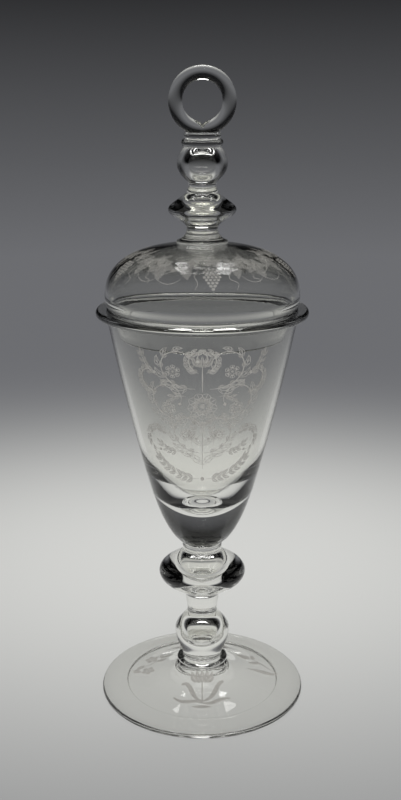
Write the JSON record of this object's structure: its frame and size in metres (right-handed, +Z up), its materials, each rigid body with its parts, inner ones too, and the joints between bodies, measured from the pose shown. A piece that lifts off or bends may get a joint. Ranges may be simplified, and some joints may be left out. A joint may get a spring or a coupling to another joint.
{
  "type": "covered goblet",
  "caption": "Tall covered glass goblet with a folded conical foot, knopped stem, funnel bowl on a solid base, and a domed cover that lifts off by a ring finial.",
  "frame": {"origin": "on the goblet's axis, in the plane that the foot stands on", "axes": "+Z up along the axis, +X along the ring finial's plane, -Y towards the engraved front"},
  "size_m": [0.1336, 0.1336, 0.4001],
  "materials": {
    "clear_glass": "fire-polished clear glass with a faint grey tint",
    "engraved_glass": "matt wheel-engraved glass"
  },
  "bodies": {
    "goblet": {"foot": "clear_glass", "foot_merese": "clear_glass", "ball_knop": "clear_glass", "cushion_knop": "clear_glass", "bowl_merese": "clear_glass", "bowl": "clear_glass"},
    "cover": {"cover_dome": "clear_glass", "cover_merese": "clear_glass", "cover_knop": "clear_glass", "cover_ball": "clear_glass", "finial_collar_lower": "clear_glass", "finial_collar_upper": "clear_glass", "finial_ring": "clear_glass"}
  },
  "joints": [
    {"name": "cover_lift", "type": "slide", "parent": "goblet", "child": "cover", "axis": [0, 0, 1], "range_m": [0, 0.12]}
  ]
}
